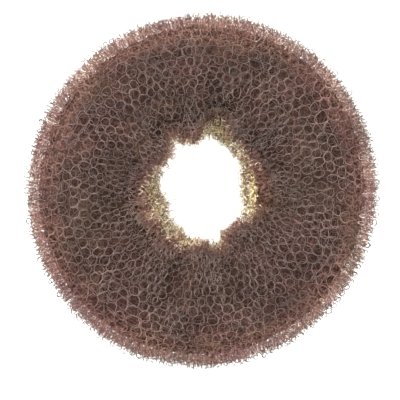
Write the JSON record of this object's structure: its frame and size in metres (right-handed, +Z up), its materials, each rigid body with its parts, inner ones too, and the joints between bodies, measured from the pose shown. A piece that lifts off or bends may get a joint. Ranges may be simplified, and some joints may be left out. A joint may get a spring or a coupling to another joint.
{
  "type": "hair donut bun maker",
  "caption": "Soft ring of lofty knitted net, rolled on itself and bonded inside the hole, that a ponytail passes through to shape a bun.",
  "frame": {"origin": "centre of the ring's bounding box, on the surface that it rests on", "axes": "+Z up along the ring's axis, out of the face that the picture shows; +Y towards the top of the picture; +X towards its right"},
  "size_m": [0.0896, 0.0904, 0.032],
  "materials": {
    "brown_net": "lofty knitted nylon net, satin strands",
    "dark_net": "dense rolled net, matte",
    "golden_seam": "bonded net, translucent and slightly glossy"
  },
  "bodies": {
    "root": {"outer_wrap": "brown_net", "inner_roll": "dark_net", "seam_band": "golden_seam"}
  },
  "joints": []
}
